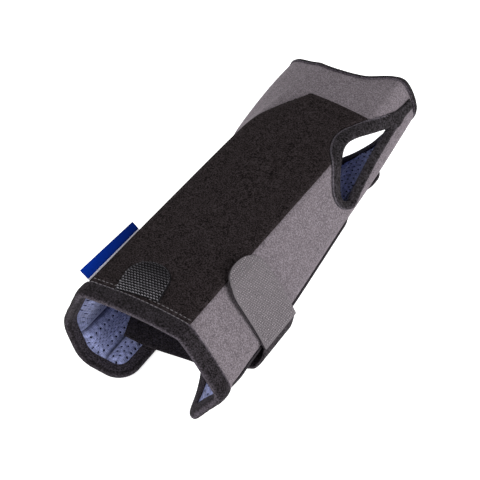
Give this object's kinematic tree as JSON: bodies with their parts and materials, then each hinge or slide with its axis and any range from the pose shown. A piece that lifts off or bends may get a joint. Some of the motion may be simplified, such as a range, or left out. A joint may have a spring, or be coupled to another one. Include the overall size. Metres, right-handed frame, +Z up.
{
  "type": "wrist support",
  "caption": "Padded wrist support with a lined wall folded round forearm and hand, a bound thumb hole, a loop felt back and hook straps across the open palm side.",
  "frame": {"origin": "on the surface that the support lies on, below the middle of its outline", "axes": "+X to the thumb side, +Y from the forearm end to the hand end, +Z up through the back of the hand"},
  "size_m": [0.1176, 0.273, 0.077],
  "materials": {
    "wall_fabric": "brushed mauve-grey loop fabric, matt",
    "spacer_mesh": "blue perforated spacer mesh, soft sheen",
    "loop_felt": "black loop felt, matt and slightly speckled",
    "binding_tape": "charcoal felted binding tape, matt",
    "seam_tape": "black ribbon, matt",
    "hook_tape_dark": "black woven hook tape with rows of pale loops",
    "strap_felt": "black loop strap, matt",
    "hook_tape_grey": "grey ribbed hook tape",
    "label_ribbon": "plain blue satin ribbon"
  },
  "bodies": {
    "root": {"outer_wall": "wall_fabric", "lining": "spacer_mesh", "dorsal_panel": "loop_felt", "edge_binding": "binding_tape", "thumb_binding": "binding_tape", "side_seam_tape": "seam_tape", "pocket_tab": "hook_tape_dark", "forearm_strap": "strap_felt", "forearm_strap_tab": "hook_tape_grey", "palm_strap": "strap_felt", "label": "label_ribbon"}
  },
  "joints": []
}
